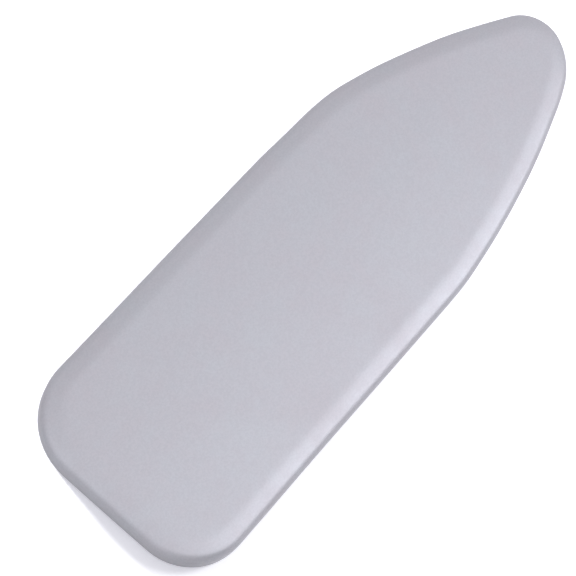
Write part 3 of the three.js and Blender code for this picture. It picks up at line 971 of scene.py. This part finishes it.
def make_hem_stitches():
    """Two parallel rows that hold the binding to the skin's edge, seen from below."""
    below = HEM_HEIGHT - CASING_HEIGHT / 2 + hem_wave - BINDING_PUFF * np.abs(puckers)
    rows = [ring(opening_line, inset, below) for inset in HEM_SEAM_INSETS]
    return seam("hem_stitches", rows, HEM_STITCH, "root", closed=True)


# Straps

WEB_THICKNESS = 0.86 * MM
SELVEDGE = 0.12 * MM           # how much thicker the woven edges are
SELVEDGE_STEPS = np.array([0, 0.3, 0.9, 1.6]) * MM     # places in from each edge, past its bead
EDGE_THICKNESS_SHARE = 0.45    # thickness of the very edge
LINE_STEP = 1.0 * MM
CORNER_REACH = 2.5 * MM        # corners of the webbing's line are eased over this much
CORNER_WEIGHTS = {-1: 0.1, -0.5: 0.25, 0: 0.3, 0.5: 0.25, 1: 0.1}
SWING_CLEAR = 1.0 * MM         # and takes its free level this far beyond it
ANCHOR_LOW, ANCHOR_HIGH = 0.6 * MM, 1.68 * MM
FREE_LEVEL = 0.7 * MM
LOOP_LEVEL = 4.8 * MM
WEB_UNEVEN_SHARE = 0.03        # unevenness of its thickness
WEB_UNEVEN_SIZE = 12 * MM
THREAD_RISE = 0.04 * MM        # how far a seam's middle stands off the webbing
BOX_SIDE = 3 * MM              # the box of stitches: its sides, and its ends from the anchor's tip
BOX_ENDS = (8 * MM, 27 * MM)
PATCH_SEAM_INSET = 1.6 * MM


def web_section(width):
    """Places across the webbing and its half thickness there, with a bead along each edge."""
    edge = width / 2
    across = np.concatenate([SELVEDGE_STEPS - edge, [-edge / 2, 0, edge / 2],
                             (edge - SELVEDGE_STEPS)[::-1]])
    bead = 1 - eased(edge - np.abs(across), *SELVEDGE_STEPS[2:])
    half = WEB_THICKNESS / 2 + SELVEDGE / 2 * bead
    half[[0, -1]] *= EDGE_THICKNESS_SHARE
    return across, half


def rounded_line(corners):
    """A line through (along, height) corners, with each corner eased and even steps."""
    corners = np.asarray(corners, float)
    along = path_lengths(corners)
    count = int(math.ceil(along[-1] / LINE_STEP))
    at = np.linspace(0, along[-1], count + 1)

    def place(s):
        return np.stack([np.interp(s, along, corners[:, k]) for k in range(2)], axis=1)

    room = np.minimum(CORNER_REACH, np.minimum(at, along[-1] - at))
    return sum(weight * place(at + share * room) for share, weight in CORNER_WEIGHTS.items()), at


def anchor_corners():
    """The sewn end: it starts on top, goes out under the lip, turns and comes back below."""
    turn_radius = (ANCHOR_HIGH - ANCHOR_LOW) / 2
    turn = -ANCHOR_LENGTH + turn_radius + WEB_THICKNESS / 2
    middle = (ANCHOR_HIGH + ANCHOR_LOW) / 2
    bend = arc_points((turn, middle), turn_radius, QUARTER, 3 * QUARTER, 8)
    return [(turn + ANCHOR_TURN_BACK, ANCHOR_HIGH)] + bend + [(-SWING_CLEAR, ANCHOR_LOW)]


def make_strap_half(strap, half):
    """One half of a strap as one webbing, from its sewn end to its tip."""
    low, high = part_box(f"{strap}_{half}_webbing")
    hand = 1 if half == "hook" else -1
    root = low[1] if half == "hook" else high[1]
    length = high[1] - low[1]
    middle = (low[0] + high[0]) / 2
    free = [(SWING_CLEAR, FREE_LEVEL), (length, FREE_LEVEL)]
    if half == "loop":
        climb = length - FASTENING
        free = [(SWING_CLEAR, FREE_LEVEL), (climb * CLIMB_START_SHARE, FREE_LEVEL),
                (climb * CLIMB_END_SHARE, LOOP_LEVEL), (length, LOOP_LEVEL)]
    line, along = rounded_line(anchor_corners() + free)
    ahead = np.gradient(line, axis=0)
    ahead /= np.linalg.norm(ahead, axis=1)[:, None]
    square = np.stack([-ahead[:, 1], ahead[:, 0]], axis=1)
    across, thick = web_section(high[0] - low[0])
    loop_across = np.concatenate([across, across[::-1]])
    loop_thick = np.concatenate([thick, -thick[::-1]])
    spots = np.column_stack([along, along * 0, along * 0])
    uneven = 1 + WEB_UNEVEN_SHARE * perlin(spots, WEB_UNEVEN_SIZE, 11)
    points, uv = [], []
    for k in range(len(line)):
        yz = line[k] + square[k] * loop_thick[:, None] * uneven[k]
        x = middle + hand * loop_across
        points.append(np.column_stack([x, root + hand * yz[:, 0], yz[:, 1]]))
        uv.append(np.column_stack([np.full(len(loop_across), along[k]), loop_across]))
    piece = mesh_piece(f"{strap}_{half}_strap", np.concatenate(points),
                       strand_faces(len(loop_across), len(line)), [WEBBING_LOOK],
                       np.concatenate(uv))
    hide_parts(f"{strap}_{half}_anchor", f"{strap}_{half}_webbing")
    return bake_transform(piece)


def box_path(x_low, x_high, y_low, y_high, z):
    """A closed rectangle at one level."""
    return [(x_low, y_low, z), (x_high, y_low, z), (x_high, y_high, z), (x_low, y_high, z),
            (x_low, y_low, z)]


def make_strap_seams(strap, half):
    """A boxed cross through the sewn end, and one line round the patch."""
    hook = half == "hook"
    low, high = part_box(f"{strap}_{half}_anchor")
    level = ANCHOR_LOW - WEB_THICKNESS / 2 - THREAD_RISE
    x = (low[0] + BOX_SIDE, high[0] - BOX_SIDE)
    y = sorted(low[1] + end if hook else high[1] - end for end in BOX_ENDS)
    rising = [(x[0], y[0], level), (x[1], y[1], level)]
    falling = [(x[0], y[1], level), (x[1], y[0], level)]
    seam(f"{strap}_{half}_box_stitches", [box_path(*x, *y, level), rising, falling], BOX_STITCH,
         "root")
    low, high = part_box(f"{strap}_{half}_patch")
    x = (low[0] + PATCH_SEAM_INSET, high[0] - PATCH_SEAM_INSET)
    y = (low[1] + PATCH_SEAM_INSET, high[1] - PATCH_SEAM_INSET)
    web = FREE_LEVEL - WEB_THICKNESS / 2 if hook else LOOP_LEVEL + WEB_THICKNESS / 2
    face = low[2] + BASE_THICKNESS if hook else high[2] - BASE_THICKNESS
    seam(f"{strap}_{half}_patch_stitches", [box_path(*x, *y, z) for z in (web, face)],
         PATCH_STITCH, f"{strap}_{half}_half")


# Hook and loop patches

PATCH_CORNER = 3 * MM
BASE_THICKNESS = 0.5 * MM
BASE_SINK = 0.2 * MM           # the base reaches this much out of its box, against the webbing
# Its edge from the webbing to the field: inset, and how far from its back
BASE_EDGE = ((0.25 * MM, 0), (0, 0.15 * MM), (0, BASE_THICKNESS + 0.05 * MM),
             (0.3 * MM, BASE_THICKNESS + BASE_SINK))
FIELD_MARGIN = 2.6 * MM
HOOK_PITCH = 1.7 * MM
HOOK_RADIUS = 0.13 * MM
HOOK_STEM = ((0, 0, 0), (0, 0, 0.25), (0, 0.02, 0.42))
HOOK_TALL = 0.55               # height of the hook's line, in the same units as its stem
TUFT_PITCH = 1.25 * MM
TUFT_REACH = 0.55 * MM         # half the span of a tuft
TUFT_WIDTH = 0.2 * MM          # half its width
TUFT_DEPTH, TUFT_ROUND = 0.16 * MM, 0.1 * MM
TUFT_STEPS = 6


def rounded_ring(low, high, radius, inset, z, steps=5):
    """A rounded rectangle at one level, `inset` inside a box."""
    x0, x1, y0, y1 = low[0] + inset, high[0] - inset, low[1] + inset, high[1] - inset
    r = radius - inset
    centres = [(x1 - r, y0 + r, -0.25), (x1 - r, y1 - r, 0), (x0 + r, y1 - r, 0.25),
               (x0 + r, y0 + r, 0.5)]
    return [(cx + r * math.cos(TURN * (start + 0.25 * k / steps)),
             cy + r * math.sin(TURN * (start + 0.25 * k / steps)), z)
            for cx, cy, start in centres for k in range(steps + 1)]


def field_spots(low, high, pitch):
    """Places in staggered rows over a patch."""
    xs = np.arange(low[0] + FIELD_MARGIN, high[0] - FIELD_MARGIN, pitch)
    ys = np.arange(low[1] + FIELD_MARGIN, high[1] - FIELD_MARGIN, pitch)
    return [(x, y) for row, y in enumerate(ys) for x in xs + (row % 2) * pitch / 2
            if x <= high[0] - FIELD_MARGIN]


def hooks(spots, base, tall):
    """One strand per place: a short stem that bends over, as three-sided rings."""
    bend = [(0, 0.15 - 0.13 * math.cos(a), 0.42 + 0.13 * math.sin(a))
            for a in np.linspace(0.6, 3.3, 5)]
    line = np.array(list(HOOK_STEM) + bend) * (MM, MM, tall / HOOK_TALL)
    sides = [(HOOK_RADIUS * math.cos(a), 0, HOOK_RADIUS * math.sin(a) * 0.6)
             for a in (0.0, TURN / 3, 2 * TURN / 3)]
    return [[at + side for at in line + (x, y, base) for side in sides] for x, y in spots]


def tufts(spots, base, room):
    """One strand per place: a flattened arch of yarn that hangs down, as three-sided rings."""
    picker = np.random.default_rng(17)
    strands = []
    for x, y in spots:
        jog = picker.uniform(-0.18, 0.18, 2) * TUFT_PITCH
        tall = room * picker.uniform(0.55, 0.95)
        turn = picker.uniform(0, math.pi)
        ahead = np.array([math.cos(turn), math.sin(turn), 0.0])
        square = np.array([-math.sin(turn), math.cos(turn), 0.0])
        strand = []
        for a in np.linspace(0, math.pi, TUFT_STEPS):
            at = (np.array([x + jog[0], y + jog[1], base])
                  + ahead * TUFT_REACH * math.cos(a) - (0, 0, tall * math.sin(a)))
            strand += [at + square * TUFT_WIDTH, at - square * TUFT_WIDTH,
                       at - np.array([0, 0, TUFT_DEPTH]) * math.sin(a)
                       - ahead * TUFT_ROUND * math.cos(a)]
        strands.append(strand)
    return strands


def make_patch(strap, half):
    """A patch of hook or loop tape: a bound base with its field of hooks or tufts."""
    low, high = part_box(f"{strap}_{half}_patch")
    hook = half == "hook"
    # The base lies against the webbing, and the field faces the other half
    side = 1 if hook else -1
    back = low[2] - BASE_SINK if hook else high[2] + BASE_SINK
    rings = [rounded_ring(low, high, PATCH_CORNER, inset, back + side * rise)
             for inset, rise in BASE_EDGE]
    field = back + side * BASE_EDGE[-1][1]
    points = [point for each in rings for point in each]
    faces = strand_faces(len(rings[0]), len(rings))
    if not hook:
        faces = [face[::-1] for face in faces]
    if hook:
        strands = hooks(field_spots(low, high, HOOK_PITCH), field, high[2] - field)
    else:
        strands = tufts(field_spots(low, high, TUFT_PITCH), field, field - low[2])
    for strand in strands:
        first = len(points)
        points += strand
        # The rings of hooks and tufts turn the other way round
        faces += [[first + i for i in face[::-1]] for face in strand_faces(3, len(strand) // 3)]
    piece = mesh_piece(f"{strap}_{half}_tape", points, faces, [HOOK_LOOK if hook else LOOP_LOOK])
    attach(piece, f"{strap}_{half}_half")
    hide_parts(f"{strap}_{half}_patch")
    return piece


skin = make_skin()
make_foam()
make_felt()
binding = make_binding()
make_elastic()
hem_stitches = make_hem_stitches()
for strap_name in ("nose_strap", "middle_strap", "tail_strap"):
    for half_name in ("hook", "loop"):
        make_strap_half(strap_name, half_name)
        make_patch(strap_name, half_name)
        make_strap_seams(strap_name, half_name)


# Floor, light and camera

FLOOR_HALF = 12.0
# Round the cover the floor glows little and shows the shadow; further out it turns white
SHADOW_REACH, WHITE_REACH = 0.85, 1.5
SHADOW_GLOW = 0.46
# Close under the cover's edges the floor's glow is cut further: a painted contact shadow
CONTACT_REACH = 45 * MM
CONTACT_GLOW_SHARE = 0.4
# The floor's painted glow, which lights the cover in place of a real bounce: painted shade along
# the foot of the tail, and more light on the right
BEHIND_TAIL, TAIL_FOOT, UNDER_COVER = -700 * MM, -615 * MM, -530 * MM
BEHIND_GLOW, FOOT_GLOW, UNDER_GLOW = 1.08, 0.54, 0.92
FAR_RIGHT, NEAR_RIGHT = -260 * MM, -180 * MM
RIGHT_GAIN = 1.38


def paper(tree, shade, glow, blue):
    """A matt surface with a glow of its own."""
    matt = add(tree, "ShaderNodeBsdfDiffuse", {"Color": (shade, shade, shade, 1)})
    lift = add(tree, "ShaderNodeEmission", {"Color": (1, 1, blue, 1), "Strength": glow})
    return add(tree, "ShaderNodeAddShader", {0: matt.outputs[0], 1: lift.outputs[0]}).outputs[0]


def make_floor():
    """A pale floor that keeps the cover's shadow, with a painted contact shadow close under its
    edges, and fades to white away from it. The cover itself sees a grey card with an uneven painted
    glow that lights it, and from below there is no floor."""
    material = bpy.data.materials.new("Pale floor")
    material.use_nodes = True
    tree = material.node_tree
    tree.nodes.clear()
    seen_by = tree.nodes.new("ShaderNodeLightPath")
    seen = math_node(tree, "MAXIMUM", seen_by.outputs["Is Camera Ray"],
                     seen_by.outputs["Is Transmission Ray"])
    place = tree.nodes.new("ShaderNodeTexCoord").outputs["Object"]
    away = add(tree, "ShaderNodeVectorMath", {0: place}, operation="LENGTH").outputs["Value"]
    faded = ramp(tree, away, SHADOW_GLOW, 1.0, start=SHADOW_REACH, end=WHITE_REACH)
    # Painted contact shadow: ambient occlusion cuts the floor's glow close under the cover
    contact = add(tree, "ShaderNodeAmbientOcclusion", {"Distance": CONTACT_REACH}).outputs["AO"]
    seen_glow = math_node(tree, "MULTIPLY", faded, ramp(tree, contact, CONTACT_GLOW_SHARE, 1.0))
    spot = add(tree, "ShaderNodeSeparateXYZ", {0: place}).outputs
    behind = ramp(tree, spot["X"], BEHIND_GLOW, FOOT_GLOW, start=BEHIND_TAIL, end=TAIL_FOOT)
    under = ramp(tree, spot["X"], FOOT_GLOW, UNDER_GLOW, start=TAIL_FOOT, end=UNDER_COVER)
    beside = ramp(tree, spot["Y"], RIGHT_GAIN, 1.0, start=FAR_RIGHT, end=NEAR_RIGHT)
    # Painted light and shade: this glow stands in for the floor's bounce onto the cover
    painted_bounce = math_node(tree, "MULTIPLY", math_node(tree, "MAXIMUM", behind, under), beside)
    front = add(tree, "ShaderNodeMixShader", {
        0: seen, 1: paper(tree, shade=0.2, glow=painted_bounce, blue=1.0),
        2: paper(tree, shade=0.86, glow=seen_glow, blue=1.13)})
    clear = tree.nodes.new("ShaderNodeBsdfTransparent")
    faces = tree.nodes.new("ShaderNodeNewGeometry")
    both = add(tree, "ShaderNodeMixShader", {
        0: faces.outputs["Backfacing"], 1: front.outputs[0], 2: clear.outputs[0]})
    add(tree, "ShaderNodeOutputMaterial", {0: both.outputs[0]})
    corners = [(x * FLOOR_HALF, y * FLOOR_HALF, 0) for x, y in ((-1, -1), (1, -1), (1, 1), (-1, 1))]
    floor = mesh_piece("floor", corners, [[0, 1, 2, 3]], [material])
    return floor


ROOM_LIGHT = 0.495
TAIL_MIRROR = 2.0
LOW_ON_THE_RIGHT = (-0.36, -0.92, -0.15)
OVER_THE_TAIL = (-0.8, 0.0, 0.6)


def make_world():
    """White to the camera. The cover gets a plain soft light that is dimmer low on the right, and
    its gloss mirrors a white room that is brighter over the tail."""
    world = bpy.data.worlds.new("Studio")
    bpy.context.scene.world = world
    world.use_nodes = True
    tree = world.node_tree
    tree.nodes.clear()
    seen_by = tree.nodes.new("ShaderNodeLightPath").outputs
    towards = tree.nodes.new("ShaderNodeTexCoord").outputs["Generated"]

    def facing(direction):
        return add(tree, "ShaderNodeVectorMath", {0: towards, 1: direction},
                   operation="DOT_PRODUCT").outputs["Value"]

    dimmed = ramp(tree, facing(LOW_ON_THE_RIGHT), 1.0, 0.0, start=0.2, end=0.95)
    mirrored = ramp(tree, facing(OVER_THE_TAIL), 1.0, TAIL_MIRROR, start=0.4, end=0.9)
    level = math_node(tree, "MULTIPLY", dimmed, between(
        tree, seen_by["Is Glossy Ray"], ROOM_LIGHT, mirrored))
    strength = math_node(tree, "MAXIMUM", level, math_node(
        tree, "MAXIMUM", seen_by["Is Camera Ray"], seen_by["Is Transmission Ray"]))
    sky = add(tree, "ShaderNodeBackground", {"Color": (1, 1, 1, 1), "Strength": strength})
    add(tree, "ShaderNodeOutputWorld", {0: sky.outputs[0]})


def softbox(name, direction, distance, length, breadth, power, lights):
    """A lamp of `length` by `breadth` in the given direction from the cover's middle, which it
    faces, with its length along the cover. It lights the given objects only."""
    lamp = bpy.data.lights.new(name, "AREA")
    lamp.shape = "RECTANGLE"
    lamp.size, lamp.size_y, lamp.energy = length, breadth, power
    holder = bpy.data.objects.new(name, lamp)
    back = Vector(direction).normalized()
    along = (Vector((1, 0, 0)) - back * back.x).normalized()
    turn = Matrix((along, back.cross(along), back)).transposed().to_4x4()
    holder.matrix_world = Matrix.Translation(back * distance) @ turn
    bpy.context.scene.collection.objects.link(holder)
    lit = bpy.data.collections.new(f"lit by {name}")
    for piece in lights:
        lit.objects.link(piece)
    holder.light_linking.receiver_collection = lit


def make_camera():
    """The photograph's viewpoint: over the tail end, rolled so that the nose points up right."""
    azimuth, elevation, roll = rad(-84.77), rad(63.72), rad(36.64)
    distance, slide, lift = 4.1583, -0.0755, -0.055
    sensor, focal_pixels, picture_width = 36.0, 2495.6, 576
    back = Vector((math.sin(azimuth) * math.cos(elevation),
                   -math.cos(azimuth) * math.cos(elevation), math.sin(elevation)))
    level = Vector((math.cos(azimuth), math.sin(azimuth), 0))
    upright = back.cross(level)
    right = math.cos(roll) * level + math.sin(roll) * upright
    up = math.cos(roll) * upright - math.sin(roll) * level
    lens = bpy.data.cameras.new("camera")
    lens.sensor_width = sensor
    lens.lens = focal_pixels * sensor / picture_width
    lens.clip_start, lens.clip_end = 0.1, 60
    camera = bpy.data.objects.new("camera", lens)
    turn = Matrix((right, up, back)).transposed().to_4x4()
    place = back * distance + right * slide + up * lift
    camera.matrix_world = Matrix.Translation(place) @ turn
    bpy.context.scene.collection.objects.link(camera)
    bpy.context.scene.camera = camera


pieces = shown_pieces()
floor = make_floor()
make_world()
softbox("right softbox", direction=(0.35, -0.27, 0.87), distance=6.0, length=2.6, breadth=0.75,
        power=65, lights=pieces)
softbox("rim softbox", direction=(0.52, -0.58, 0.64), distance=6.0, length=1.8, breadth=1.0,
        power=86, lights=pieces)
softbox("left floor lamp", direction=(-0.005, 1.0, 0.20), distance=3.5, length=0.3, breadth=0.3,
        power=310, lights=[floor])
softbox("right floor lamp", direction=(0.55, -0.42, 0.85), distance=3.5, length=1.0, breadth=1.0,
        power=64, lights=[floor])
make_camera()
bpy.context.scene.view_settings.view_transform = "Standard"
